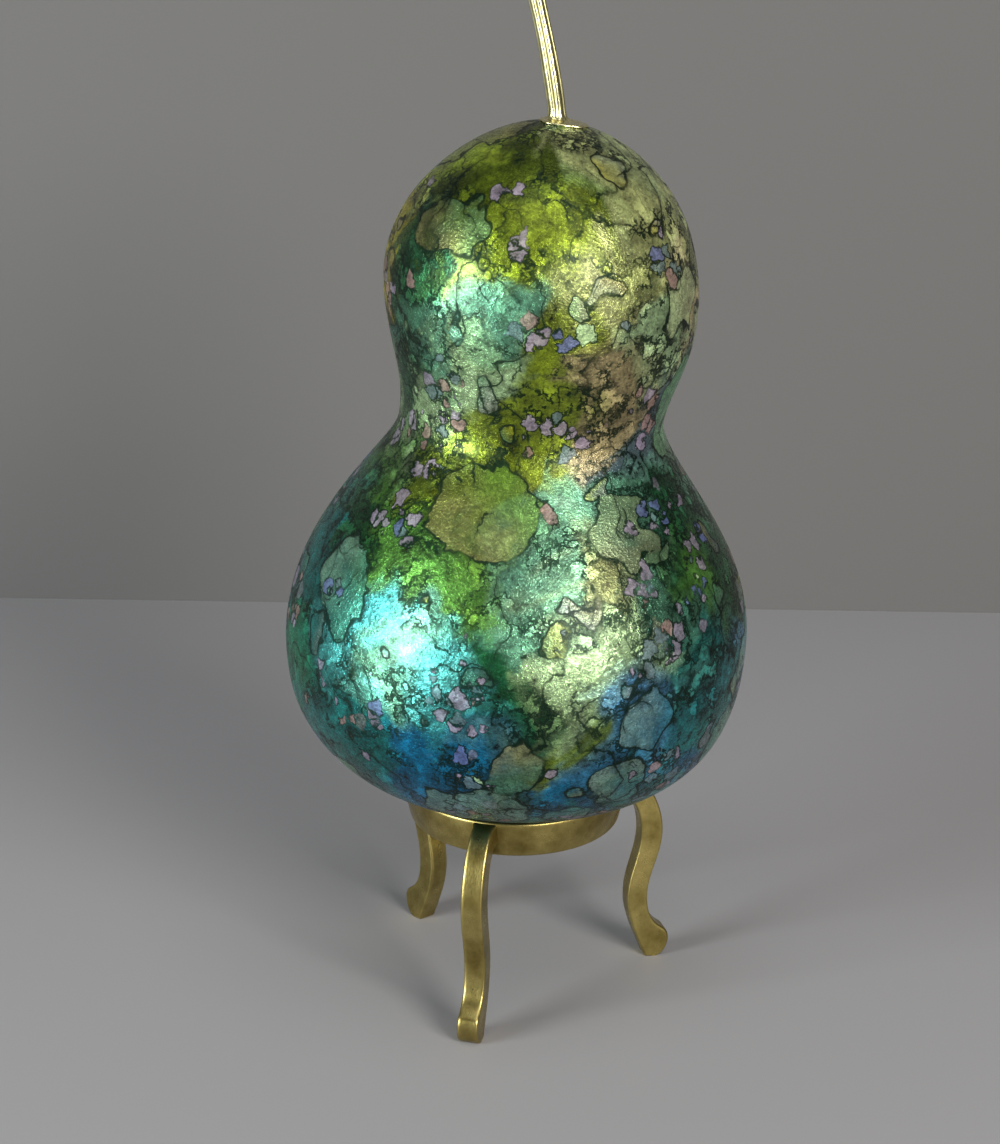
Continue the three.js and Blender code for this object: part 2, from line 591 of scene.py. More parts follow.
@dataclass(frozen=True)
class PaintedSkin:
    """Marbled metallic inks on the gourd, under a thin satin coat.

    The mesh holds where the washes, pools and veins lie, as distances to their borders in millimetres. Here
    the borders get ragged, the ink dries dark along them, small cells fill in, and a fine grain lies over
    everything. Of a vein and of a crack, the first number is the line's width as a share of the usual one,
    and the second is how far its shade reaches.
    """

    line: float = 0.27
    ragged: float = 0.8
    islands: float = 8.0
    patch_level: float = 0.02
    vein: tuple[float, float] = (1.5, 2.0)
    crack: tuple[float, float] = (1.1, 1.2)
    stir_size: float = 2.4
    mottle_size: float = 5.0
    gap_size: float = 6.0
    family_size: float = 26.0
    cell_size: float = 3.4
    cell_warp: float = 1.8
    cell_radius: tuple[float, float] = (0.9, 2.6)
    crowd: tuple[float, float] = (14.0, 0.62)
    cell_inks: tuple[Ink, ...] = (
        Ink.SAGE, Ink.VIOLET, Ink.LILAC, Ink.SLATE, Ink.LILAC, Ink.ROSE, Ink.LILAC, Ink.SLATE, Ink.VIOLET,
    )
    grain_size: float = 0.55
    grain_stretch: tuple[float, float, float] = (0.75, 0.75, 1.0)
    grain_depth: float = 0.18
    roughness: float = 0.27
    smoothest: float = 0.16
    coat: float = 0.07
    coat_roughness: float = 0.2

    def material(self) -> bpy.types.Material:
        """Makes the material.

        Returns:
            The material.
        """
        recipe = Recipe("painted_skin")
        place = recipe.place
        stir = recipe.noise(place, self.stir_size, 3.0, 0.6)
        wobble = (stir.value - 0.5) * self.ragged * 2
        mottle = recipe.noise(place, self.mottle_size, 5.0, 0.66).value - 0.5
        grain = recipe.noise(recipe.stretched(self.grain_stretch), self.grain_size, 3.0, 0.7).value - 0.5
        colour, lines = self._ground(recipe, wobble, mottle)
        colour, lines, flat = self._pools(recipe, colour, lines, wobble, mottle)
        for name, (width, reach) in (("vein", self.vein), ("crack", self.crack)):
            path = abs(recipe.read(name) + mottle * 5 + wobble)
            shown = recipe.read(name + "_share")
            colour = recipe.toned(colour, 1 - path.rise(reach, 0.0) * shown * 0.3)
            lines = lines.most(path.rise(self.line * width, self.line * width * 0.4) * shown)
        colour, lines, beads = self._cells(recipe, stir, colour, lines)
        gap = recipe.noise(place, self.gap_size, 1.0).value.rise(0.3, 0.5) * 0.6 + 0.4
        tone = (mottle * 3.0 + (stir.value - 0.5) * 1.5) * (1 - flat * 0.4) + 0.98
        crinkle = abs(stir.value - 0.5).rise(0.035, 0.005) * mottle.rise(-0.15, 0.1)
        colour = recipe.toned(colour, (grain * 2.0 + tone) * (1 - crinkle * 0.5))
        colour = recipe.mixed(lines * gap * 0.9, colour, rgba(Ink.TIDE.value))
        lustre = (recipe.read("lustre") * (1 - beads * 0.5)).most(lines * 0.9)
        roughness = grain * -0.5 + self.roughness + lines * 0.15 + beads * 0.08
        return recipe.finish({
            "Base Color": colour,
            "Metallic": lustre,
            "Roughness": roughness.most(self.smoothest),
            "Normal": recipe.bumped(grain, self.grain_depth),
            "Coat Weight": self.coat,
            "Coat Roughness": self.coat_roughness,
        })

    def _ground(self, recipe: Recipe, wobble: Number, mottle: Number) -> tuple[bpy.types.NodeSocket, Number]:
        """Adds the washes with their ragged borders and dark tide lines, and lighter outlined patches.

        How far a point is past a border is the slow noise times the size of the islands, plus the wobble, on
        the side that the mesh gives, less the distance to the border. Ink dries darker by a crisp border.

        Args:
            recipe: the material.
            wobble: how far borders stray here, in millimetres.
            mottle: slow noise about zero.

        Returns:
            The colour, and where dark lines are.
        """
        stray = (mottle * self.islands + wobble) * recipe.read("side") - recipe.read("border")
        crisp = recipe.read("tide")
        share = stray.rise(-0.06, 0.06) * crisp + stray.rise(-2.5, 2.5) * (1 - crisp)
        colour = recipe.mixed(share, recipe.read_colour("wash_a"), recipe.read_colour("wash_b"))
        tide = abs(stray).rise(self.line * 1.4, self.line * 0.3) * crisp
        shade = abs(stray).rise(1.6, 0.0) * crisp
        colour = recipe.toned(colour, 1 - shade * 0.35)
        net = recipe.read("net")
        patch = mottle.rise(self.patch_level, self.patch_level + 0.02)
        colour = recipe.toned(colour, patch * net * 0.45 + (1 - net * 0.2))
        outline = abs(mottle - self.patch_level).rise(0.04, 0.02) * net
        return colour, tide.most(outline)

    def _pools(
        self, recipe: Recipe, colour: bpy.types.NodeSocket, lines: Number, wobble: Number, mottle: Number
    ) -> tuple[bpy.types.NodeSocket, Number, Number]:
        """Adds the pools: pale and a little clouded, with dark rims that shade off outwards.

        Args:
            recipe: the material.
            colour: the colour beneath.
            lines: where dark lines are beneath.
            wobble: how far borders stray here, in millimetres.
            mottle: slow noise about zero.

        Returns:
            The colour, where dark lines are, and where pools are.
        """
        depth = recipe.read("pool") + wobble + mottle * 2
        inside = depth.rise(-0.05, 0.1)
        rim = abs(depth).rise(self.line * 1.6, self.line * 0.7)
        halo = abs(depth).rise(1.8, 0.0)
        body = recipe.read_colour("pool_ink")
        colour = recipe.mixed(inside * (mottle.rise(-0.2, 0.08) * 0.35 + 0.45), colour, body)
        colour = recipe.toned(colour, 1 - halo * (0.4 - inside * 0.2))
        return colour, (lines * (1 - inside * 0.9)).most(rim), inside

    def _cells(
        self, recipe: Recipe, stir: Noise, colour: bpy.types.NodeSocket, lines: Number
    ) -> tuple[bpy.types.NodeSocket, Number, Number]:
        """Adds clusters of small uneven cells of ink, each whole, with dark rims.

        Slow noise read at a cell's middle says whether the cell is there and which ink it has, so a cluster
        has one family of inks. A cell ends where the next one begins, or at its own radius.

        Args:
            recipe: the material.
            stir: noise that makes the cells uneven.
            colour: the colour beneath.
            lines: where dark lines are beneath.

        Returns:
            The colour, where dark lines are, and where cells are.
        """
        cells = recipe.cells(recipe.pushed(recipe.place, stir, self.cell_warp), self.cell_size)
        least, largest = self.cell_radius
        radius = cells.draws[0] * (largest - least) + least
        crowd_size, crowd_level = self.crowd
        crowd = recipe.noise(cells.middle, crowd_size, 1.0).value
        kept = (crowd + cells.draws[1] * 0.06).rise(crowd_level, crowd_level + 0.01)
        depth = (radius - cells.distance).least(cells.edge - 0.1)
        inside = depth.rise(-0.05, 0.08) * kept
        rim = abs(depth).rise(self.line * 1.1, self.line * 0.3) * kept
        family = recipe.noise(cells.middle, self.family_size, 1.0).value
        ink = recipe.picked(family + (cells.draws[2] - 0.5) * 0.16, self.cell_inks, 0.25, 0.75)
        colour = recipe.mixed(inside * 0.8, colour, ink)
        return colour, (lines * (1 - inside)).most(rim), inside


@dataclass(frozen=True)
class Gilding:
    """Pale gold leaf on the stem, with painted shade in the furrows."""

    bright: Display = (230, 222, 170)
    # Colour of the painted shade in the furrows.
    dark: Display = (96, 92, 36)
    roughness: float = 0.12
    wear_stretch: tuple[float, float, float] = (1.0, 1.0, 0.25)
    wear_size: float = 0.9
    wear_depth: float = 0.05

    def material(self) -> bpy.types.Material:
        """Makes the material.

        Returns:
            The material.
        """
        recipe = Recipe("gilded_stem")
        furrow = recipe.read("furrow")
        worn = recipe.noise(recipe.stretched(self.wear_stretch), self.wear_size, 3.0, 0.6).value
        # Painted shade: the furrows turn towards the dark colour.
        colour = recipe.mixed(furrow.rise(0.35, 0.9) * 0.9, rgba(self.bright), rgba(self.dark))
        colour = recipe.toned(colour, worn * 0.8 + 0.6)
        return recipe.finish({
            "Base Color": colour,
            "Metallic": 1.0,
            "Roughness": worn * 0.25 + self.roughness + furrow * 0.15,
            "Normal": recipe.bumped(worn, self.wear_depth),
        })


@dataclass(frozen=True)
class AgedBrass:
    """Old satin brass: warm and dull on faces, darker where stained, painted highlight on rounded edges."""

    bright: Display = (192, 174, 108)
    dull: Display = (132, 116, 60)
    stain: Display = (66, 58, 28)
    roughness: float = 0.31
    cloud_size: float = 8.0
    pit_size: float = 0.8
    scratch_size: float = 0.35
    scratch_stretch: tuple[float, float, float] = (1.0, 1.0, 0.08)
    relief: float = 0.03

    def material(self) -> bpy.types.Material:
        """Makes the material.

        Returns:
            The material.
        """
        recipe = Recipe("stand_brass")
        edge = recipe.read("edge")
        clouds = recipe.noise(recipe.place, self.cloud_size, 5.0, 0.62).value
        pits = recipe.noise(recipe.place, self.pit_size, 2.0, 0.6).value
        scratch = recipe.noise(recipe.stretched(self.scratch_stretch), self.scratch_size, 2.0).value
        colour = recipe.mixed(clouds.rise(0.3, 0.75), rgba(self.dull), rgba(self.bright))
        colour = recipe.mixed(clouds.rise(0.42, 0.26) * 0.25, colour, rgba(self.stain))
        colour = recipe.mixed(pits.rise(0.66, 0.74) * 0.4, colour, rgba(self.stain))
        # Painted highlight: the brass turns bright along the rounded edges.
        colour = recipe.mixed(edge * 0.25, colour, rgba(self.bright))
        return recipe.finish({
            "Base Color": colour,
            "Metallic": 1.0,
            "Roughness": clouds * -0.15 + pits * 0.1 + self.roughness + edge * 0.08,
            "Normal": recipe.bumped(scratch * 0.6 + pits * 0.4, self.relief),
        })


@dataclass(frozen=True)
class PaleFloor:
    """A plain matt grey surface for the floor and the wall behind. A one-sided one is clear from behind."""

    name: str
    colour: Display
    one_sided: bool = False
    floor_roughness: float = 0.6
    floor_gloss: float = 0.3
    wall_roughness: float = 0.9

    def material(self) -> bpy.types.Material:
        """Makes the material.

        Returns:
            The material.
        """
        recipe = Recipe(self.name)
        colour = rgba(self.colour)
        if not self.one_sided:
            finish = {"Roughness": self.floor_roughness, "Specular IOR Level": self.floor_gloss}
            return recipe.finish({"Base Color": colour, **finish})
        sockets = {"Base Color": colour, "Roughness": self.wall_roughness}
        plain = recipe.node("ShaderNodeBsdfPrincipled", {}, sockets)
        clear = recipe.node("ShaderNodeBsdfTransparent", {}, {})
        behind = recipe.node("ShaderNodeNewGeometry", {}, {}).outputs["Backfacing"]
        shaders = {0: behind, 1: plain.outputs[0], 2: clear.outputs[0]}
        either = recipe.node("ShaderNodeMixShader", {}, shaders)
        recipe.node("ShaderNodeOutputMaterial", {}, {"Surface": either.outputs[0]})
        return recipe.material


def settle(piece: bpy.types.Object, material: bpy.types.Material, slot: str, *nodes: str) -> None:
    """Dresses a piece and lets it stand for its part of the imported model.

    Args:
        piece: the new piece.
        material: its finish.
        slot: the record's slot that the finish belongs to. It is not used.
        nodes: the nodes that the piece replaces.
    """
    piece.data.materials.append(material)
    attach(piece, "root")
    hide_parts(*nodes)
    log.info("%s: %d faces", piece.name, len(piece.data.polygons))


@dataclass(frozen=True)
class Zone:
    """A broad zone of the skin: its turn from the front to the viewer's right, its height and its inks."""

    turn: float
    height: float
    inks: tuple[Ink, ...]
    lustre: float = 0.75


@dataclass(frozen=True)
class Wash:
    """A wash of one ink: its middle on the skin, its reach, its ink and its lustre."""

    middle: np.ndarray
    reach: float
    ink: Ink
    lustre: float


ZONES = (
    Zone(-30, 190, (Ink.OLIVE, Ink.MOSS, Ink.CHARTREUSE)),
    Zone(45, 185, (Ink.SAGE, Ink.SEA, Ink.KHAKI), 0.45),
    Zone(-70, 165, (Ink.DEEP_GREEN, Ink.SEA, Ink.GOLD)),
    # Mint on the lit left of the bulb: partly a painted highlight.
    Zone(-30, 165, (Ink.MINT, Ink.SEA, Ink.CHARTREUSE)),
    Zone(10, 165, (Ink.OLIVE, Ink.KHAKI, Ink.MOSS)),
    Zone(60, 160, (Ink.TAN, Ink.SAGE, Ink.KHAKI), 0.45),
    # Mint on the lit left of the neck: partly a painted highlight.
    Zone(-40, 140, (Ink.MINT, Ink.LEAF, Ink.SAGE)),
    Zone(5, 140, (Ink.OLIVE, Ink.TAN, Ink.OLIVE), 0.6),
    Zone(60, 135, (Ink.TEAL, Ink.SLATE, Ink.SEA), 0.5),
    Zone(-80, 115, (Ink.TEAL, Ink.DEEP_GREEN, Ink.LEAF)),
    Zone(-25, 120, (Ink.OLIVE, Ink.CHARTREUSE, Ink.LEAF)),
    Zone(30, 115, (Ink.KHAKI, Ink.SEA, Ink.TAN), 0.65),
    Zone(70, 110, (Ink.LEAF, Ink.SEA, Ink.DEEP_GREEN)),
    # Turquoise and mint on the lit belly: partly a painted highlight.
    Zone(-35, 100, (Ink.TURQUOISE, Ink.SEA, Ink.TURQUOISE), 0.85),
    Zone(20, 98, (Ink.MINT, Ink.SEA, Ink.SAGE), 0.8),
    Zone(-60, 85, (Ink.DEEP_GREEN, Ink.EMERALD, Ink.TEAL)),
    Zone(5, 85, (Ink.TEAL, Ink.OLIVE, Ink.DEEP_GREEN)),
    Zone(60, 85, (Ink.TEAL, Ink.STEEL, Ink.SEA), 0.65),
    Zone(-20, 65, (Ink.BLUE, Ink.TEAL, Ink.BLUE)),
    Zone(40, 65, (Ink.TEAL, Ink.BLUE, Ink.STEEL)),
    Zone(-125, 165, (Ink.SEA, Ink.OLIVE, Ink.EMERALD, Ink.LEAF)),
    Zone(125, 165, (Ink.KHAKI, Ink.TEAL, Ink.MOSS, Ink.SAGE)),
    Zone(180, 140, (Ink.CHARTREUSE, Ink.DEEP_GREEN, Ink.TAN, Ink.SEA)),
    Zone(-130, 105, (Ink.OLIVE, Ink.EMERALD, Ink.SEA, Ink.GOLD)),
    Zone(130, 105, (Ink.LEAF, Ink.TEAL, Ink.KHAKI, Ink.DEEP_GREEN)),
    Zone(-130, 75, (Ink.BLUE, Ink.TEAL, Ink.DEEP_GREEN)),
    Zone(130, 75, (Ink.STEEL, Ink.TEAL, Ink.BLUE)),
)
POOL_INKS = (Ink.SAGE, Ink.SEA, Ink.TAN, Ink.KHAKI, Ink.SAGE, Ink.TEAL, Ink.LEAF)
BLOT_INKS = (Ink.LILAC, Ink.SAGE, Ink.TAN, Ink.TEAL, Ink.SLATE, Ink.GOLD, Ink.SEA, Ink.ROSE)


@dataclass
class Marbling:
    """Where the inks lie on the gourd: washes, flecks in them, pools, veins and cracks.

    The zones give the broad order of the inks: olive and green above, teal and blue below. Pale mint and
    turquoise inks lie where the lamps' highlights fall, which partly paints those highlights into the
    skin. The places of the washes, the flecks, the pools, the veins and the cracks are drawn from seeds.
    """

    gourd: "Gourd"
    washes: int = 150
    wash_reach: tuple[float, float] = (7.0, 11.0)
    wash_gap: float = 6.0
    flecks: int = 420
    fleck_reach: tuple[float, float] = (2.6, 5.6)
    pools: int = 36
    pool_reach: tuple[float, float] = (4.6, 10.5)
    blots: int = 90
    blot_reach: tuple[float, float] = (1.4, 3.4)
    vein_size: float = 25.0
    crack_size: float = 13.0
    slope: float = 3.1
    wash_share: float = 0.55
    ground_stirs: tuple[Stir, ...] = ((26, 4.5, 30), (9, 2.2, 40), (4, 1.0, 50))
    pool_stirs: tuple[Stir, ...] = ((9, 1.5, 60), (3.5, 0.5, 66))
    vein_stir: Stir = (7, 1.2, 90)
    crack_stir: Stir = (5, 1.0, 96)
    seed: int = 21

    def _apart(
        self, draw: np.random.Generator, taken: list[tuple[np.ndarray, float]], reach: float
    ) -> tuple[float, float]:
        """Draws a place on the gourd that keeps clear of the places taken, and takes it.

        Args:
            draw: the source of random numbers.
            taken: the middles and reaches of the places taken, to which this one is added.
            reach: how far this one keeps others off.

        Returns:
            Its turn and height.
        """
        while True:
            turn, height = self.gourd.scatter(draw, 1)[0]
            middle = self.gourd.spot(turn, height)
            if all(np.linalg.norm(middle - place) > reach + size for place, size in taken):
                taken.append((middle, reach))
                return turn, height

    def _zone(self, draw: np.random.Generator, place: np.ndarray) -> Zone:
        """Gives the nearest zone to a place, a little at random where two are about as near."""
        away = [np.linalg.norm(place - self.gourd.spot(zone.turn, zone.height)) for zone in ZONES]
        return ZONES[int(np.argmin(np.array(away) * draw.uniform(0.85, 1.15, len(ZONES))))]

    def _washes(self) -> list[Wash]:
        """Draws the washes all over the gourd, each with one of the inks of its zone.

        Returns:
            The washes.
        """
        draw = np.random.default_rng(self.seed + 2)
        taken: list[tuple[np.ndarray, float]] = []
        washes = []
        for _ in range(self.washes):
            middle = self.gourd.spot(*self._apart(draw, taken, self.wash_gap))
            zone = self._zone(draw, middle)
            ink = zone.inks[int(draw.integers(len(zone.inks)))]
            washes.append(Wash(middle, float(draw.uniform(*self.wash_reach)), ink, zone.lustre))
        return washes

    def _blend(self, points: np.ndarray, washes: list[Wash]) -> np.ndarray:
        """Mixes the broad washes at some points: each pulls by a bell curve of its distance over its reach.

        Args:
            points: places in millimetres.
            washes: the washes.

        Returns:
            Red, green, blue and lustre at each point.
        """
        total = np.zeros(points.shape[:-1] + (5,))
        for wash in washes:
            away = np.linalg.norm(points - wash.middle, axis=-1) / wash.reach
            pull = np.exp(-2.6 * away**2) + 1e-9 * np.exp(-0.2 * away)
            total += pull[..., None] * np.array([*linear(wash.ink.value), wash.lustre, 1.0])
        return total[..., :4] / total[..., 4:]

    def _flecks(self, washes: list[Wash]) -> tuple[np.ndarray, np.ndarray, np.ndarray]:
        """Draws the middles of all the patches of ink: the washes' own and a fleck for each random place.

        A fleck's ink is between what the washes give there and an ink of the zone.

        Args:
            washes: the washes.

        Returns:
            Middles, reaches, and red, green, blue and lustre.
        """
        draw = np.random.default_rng(self.seed)
        middles = self.gourd.spot(*self.gourd.scatter(draw, self.flecks).T)
        local = self._blend(middles, washes)
        reach = draw.uniform(*self.fleck_reach, self.flecks)
        families = [self._zone(draw, middle).inks for middle in middles]
        own = np.array([linear(inks[int(draw.integers(len(inks)))].value) for inks in families])
        share = draw.uniform(0.1, 0.75, (self.flecks, 1))
        tone = draw.uniform(0.7, 1.25, (self.flecks, 1))
        local[:, :3] = (local[:, :3] * (1 - share) + own * share) * tone
        inks = [np.array([*linear(wash.ink.value), wash.lustre]) for wash in washes]
        return (
            np.concatenate([np.array([wash.middle for wash in washes]), middles]),
            np.concatenate([np.array([wash.reach * 0.6 for wash in washes]), reach]),
            np.concatenate([np.array(inks), local]),
        )

    def _ground(self, surface: Surface, points: np.ndarray, washes: list[Wash]) -> None:
        """Lays the patches of ink on the skin.

        A point belongs to the patch whose distance over its reach is least. The point is pushed about by
        ripples first, so borders wander. Its distance to the nearest border is the gap between the least and
        the next value over the sum of both slopes.

        Args:
            surface: the skin.
            points: its points.
            washes: the washes.
        """
        moved = stirred(points, *self.ground_stirs)
        middles, reaches, inks = self._flecks(washes)
        least = np.full(points.shape[:2], 99.0)
        other = least + 1
        first = np.zeros(points.shape[:2], int)
        second = np.zeros(points.shape[:2], int)
        for k, (middle, reach) in enumerate(zip(middles, reaches)):
            away = np.linalg.norm(moved - middle, axis=-1) / reach
            nearest, nearer = away < least, away < other
            second = np.where(nearest, first, np.where(nearer, k, second))
            other = np.where(nearest, least, np.where(nearer, away, other))
            first = np.where(nearest, k, first)
            least = np.where(nearest, away, least)
        border = (other - least) / (1 / reaches[first] + 1 / reaches[second])
        soft = self._blend(moved, washes)
        for name, owner in (("wash_a", first), ("wash_b", second)):
            own = inks[owner][..., :3] * (1 - self.wash_share)
            surface.give(name, own + soft[..., :3] * self.wash_share)
        surface.give("lustre", inks[first][..., 3] * 0.5 + soft[..., 3] * 0.5)
        surface.give("border", border)
        surface.give("side", np.where(first < second, 1.0, -1.0))
        surface.give("tide", smooth(Ripple(24, 71)(points), -0.15, 0.35))
        surface.give("net", smooth(Ripple(17, 77)(points) + 0.4 * Ripple(6, 78)(points), -0.25, 0.3))

    def _pools(self, surface: Surface, points: np.ndarray, washes: list[Wash]) -> None:
        """Lays large pools and small blots on the skin.

        Each is an oval in the skin: a point's offset from its middle is measured along its length, across it
        and outwards, each over the oval's half size, and the depth is one less the length of those three,
        times the smaller half size. Ripples push the points about first. Where two meet, the depth is half
        the difference between theirs.

        Args:
            surface: the skin.
            points: its points.
            washes: the washes.
        """
        draw = np.random.default_rng(self.seed + 1)
        moved = stirred(points, *self.pool_stirs)
        deepest = np.full(points.shape[:2], -9.0)
        next_deepest = deepest - 1
        ink = np.zeros(points.shape)
        taken: list[tuple[np.ndarray, float]] = []
        for k in range(self.pools + self.blots):
            large = k < self.pools
            reach = float(draw.uniform(*(self.pool_reach if large else self.blot_reach)))
            inks = POOL_INKS if large else BLOT_INKS
            turn, height = self._apart(draw, taken, reach * 0.95)
            middle = self.gourd.spot(turn, height)
            local = self._blend(middle, washes)[:3]
            pair = [inks[int(draw.integers(len(inks)))] for _ in range(2)]
            start, end = (local * 0.45 + linear(one.value) * 0.55 for one in pair)
            axes = self.gourd.tangents(turn, height, float(draw.uniform(0, np.pi)))
            sizes = np.array([reach * float(draw.uniform(1.0, 1.6)), reach, reach])
            offset = (moved - middle) @ axes.T / sizes
            depth = (1 - np.linalg.norm(offset, axis=-1)) * reach
            wins = depth > deepest
            blend = smooth(offset[..., :1] + 0.4 * offset[..., 1:2], -0.7, 0.7)
            ink = np.where(wins[..., None], start * (1 - blend) + end * blend, ink)
            next_deepest = np.where(wins, deepest, np.maximum(next_deepest, depth))
            deepest = np.maximum(deepest, depth)
        inner = np.minimum(deepest, (deepest - next_deepest) / 2)
        surface.give("pool", np.where(deepest > 0, inner, deepest))
        surface.give("pool_ink", ink)

    def lay(self, surface: Surface) -> None:
        """Lays everything on the skin.

        A vein or a crack is where a slow ripple passes zero, and its distance is the ripple over its usual
        slope.

        Args:
            surface: the skin, which gets numbers and colours for its points.
        """
        points = surface.rings
        washes = self._washes()
        self._ground(surface, points, washes)
        self._pools(surface, points, washes)
        wave = Ripple(self.vein_size, 83)(stirred(points, self.vein_stir))
        surface.give("vein", wave * self.vein_size / self.slope)
        surface.give("vein_share", smooth(Ripple(21, 86)(points), -0.35, -0.1))
        wave = Ripple(self.crack_size, 93)(stirred(points, self.crack_stir))
        surface.give("crack", wave * self.crack_size / self.slope)
        surface.give("crack_share", smooth(Ripple(16, 98)(points), 0.0, 0.25))


@dataclass
class Gourd:
    """The bottle gourd: a turned form whose middle wanders sideways as it rises."""

    axis: tuple[float, float]
    bottom: float = 46.4
    belly: tuple[float, float] = (50.5, 84.0)
    neck: tuple[float, float] = (28.3, 132.3)
    bulb: tuple[float, float] = (32.9, 160.4)
    top: float = 194.4
    base_reach: float = 42.0
    belly_reach: tuple[float, float] = (19.3, 23.6)
    neck_reach: tuple[float, float] = (7.7, 8.4)
    bulb_reach: tuple[float, float] = (13.5, 21.6)
    crown_reach: float = 13.8
    wander: tuple[float, ...] = (1.2, -0.2, -0.2, 0.5, 4.2, 3.6, 4.6)
    rows: int = 300
    columns: int = 320
    unevenness: float = 0.22
    scar_radius: float = 4.5
    scar_depth: float = 1.0
    button_radius: float = 1.6
    skin: PaintedSkin = field(default_factory=PaintedSkin)

    def __post_init__(self) -> None:
        """Draws the gourd's side from bottom to top as four cubic curves of radius and height."""
        (r1, z1), (r2, z2), (r3, z3) = self.belly, self.neck, self.bulb
        self.side = chain((
            (0, self.bottom),
            (self.base_reach, self.bottom), (r1, z1 - self.belly_reach[0]), (r1, z1),
            (r1, z1 + self.belly_reach[1]), (r2, z2 - self.neck_reach[0]), (r2, z2),
            (r2, z2 + self.neck_reach[1]), (r3, z3 - self.bulb_reach[0]), (r3, z3),
            (r3, z3 + self.bulb_reach[1]), (self.crown_reach, self.top), (0, self.top),
        ), 200)

    def middle(self, height: np.ndarray) -> np.ndarray:
        """Gives the sideways place of the gourd's middle: a smooth curve through evenly spaced offsets.

        Between two offsets the curve is the cubic that meets both, with the slope at each equal to half the
        difference of its neighbours. The end offsets are their own neighbours.

        Args:
            height: heights of the places.

        Returns:
            The middle's place along X at each height.
        """
        offsets = np.asarray(self.wander)
        last = len(offsets) - 1
        level = np.clip((height - self.bottom) / (self.top - self.bottom), 0, 1) * last
        k = np.minimum(level.astype(int), last - 1)
        t = level - k
        before, here, there, beyond = (offsets[np.clip(k + j, 0, last)] for j in (-1, 0, 1, 2))
        out, into = (there - before) / 2, (beyond - here) / 2
        cubic = (2 * here - 2 * there + out + into) * t**3 + (3 * there - 3 * here - 2 * out - into) * t**2
        return self.axis[0] + cubic + out * t + here

    def crown(self, x: np.ndarray, y: np.ndarray) -> np.ndarray:
        """Gives the height of the crown's surface over places near its middle, by their distance from it.

        Args:
            x: the places along X.
            y: the places along Y.

        Returns:
            The height over each.
        """
        upper = self.side[self.side[:, 1] > self.bulb[1]][::-1]
        away = np.hypot(x - self.middle(np.asarray(self.top)), y - self.axis[1])
        return np.interp(away, upper[:, 0], upper[:, 1])

    def spot(self, turn: np.ndarray | float, height: np.ndarray | float) -> np.ndarray:
        """Gives places on the skin: the side's radius at a height, turned about the middle there.

        Args:
            turn: turn from the front to the viewer's right, in degrees.
            height: height of each place.

        Returns:
            The places, with the three axes last.
        """
        height = np.asarray(height, float)
        radius = np.interp(height, self.side[:, 1], self.side[:, 0])
        angle = np.radians(turn)
        x = self.middle(height) + radius * np.sin(angle)
        return np.stack([x, self.axis[1] - radius * np.cos(angle), height], axis=-1)

    def tangents(self, turn: float, height: float, spin: float) -> np.ndarray:
        """Gives two directions in the skin, turned by a spin, and the direction outwards.

        Args:
            turn: turn from the front in degrees.
            height: height of the place.
            spin: turn of the two directions in radians.

        Returns:
            The three directions, one row each.
        """
        angle = math.radians(turn)
        near = np.interp([height - 0.5, height + 0.5], self.side[:, 1], self.side[:, 0])
        slope = float(near[1] - near[0])
        across = np.array([math.cos(angle), math.sin(angle), 0.0])
        up = np.array([slope * math.sin(angle), -slope * math.cos(angle), 1.0])
        up /= np.linalg.norm(up)
        length = math.cos(spin) * across + math.sin(spin) * up
        breadth = math.cos(spin) * up - math.sin(spin) * across
        return np.array([length, breadth, np.cross(across, up)])

    def scatter(self, draw: np.random.Generator, count: int) -> np.ndarray:
        """Draws places spread evenly over the skin.

        Args:
            draw: the seeded source of random numbers.
            count: number of places.

        Returns:
            Turn in degrees and height of each place.
        """
        line = evenly(self.side, np.linspace(0, 1, 400))
        area = np.cumsum(line[:, 0])
        height = np.interp(draw.uniform(0.02, 0.995, count) * area[-1], area, line[:, 1])
        return np.stack([draw.uniform(-180, 180, count), height], axis=-1)

    def rings(self) -> np.ndarray:
        """Works out the skin.

        A point at share v of the side and angle a round it is the side's radius times the cosine and sine of
        a, about the wandering middle, moved in by a small ripple, with a shallow scar under the bottom.

        Returns:
            The points, by row, column and axis.
        """
        shares = np.linspace(0, 1, self.rows + 2)[1:-1]
        line = evenly(self.side, shares)
        angle = np.linspace(0, 2 * np.pi, self.columns, endpoint=False)
        radius, height = line[:, :1], line[:, 1:] + 0 * angle
        middle = self.middle(height)
        across, along = radius * np.cos(angle), radius * np.sin(angle)
        points = np.stack([middle + across, self.axis[1] + along, height], axis=-1)
        dent = self.unevenness * (0.5 + 0.5 * Ripple(46.0, 5)(points) + 0.25 * Ripple(17.0, 9)(points))
        keep = smooth(shares, 0.0, 0.12) * smooth(1 - shares, 0.0, 0.1)
        factor = 1 - np.clip(dent, 0, 1) * keep[:, None] / np.maximum(radius, 8)
        points[..., 0] = middle + across * factor
        points[..., 1] = self.axis[1] + along * factor
        under = shares[:, None] < 0.2
        scar = (1 - smooth(radius, 0.4, self.scar_radius)) * under
        button = (1 - smooth(radius, 0.0, self.button_radius)) * under
        points[..., 2] += self.scar_depth * (scar - 0.5 * button)
        return points

    def build(self) -> bpy.types.Object:
        """Makes the gourd and puts it in its node's place.

        Returns:
            The piece.
        """
        surface = Surface(self.rings())
        Marbling(self).lay(surface)
        piece = surface.mesh("gourd_painted")
        settle(piece, self.skin.material(), "painted_skin", "gourd")
        return piece


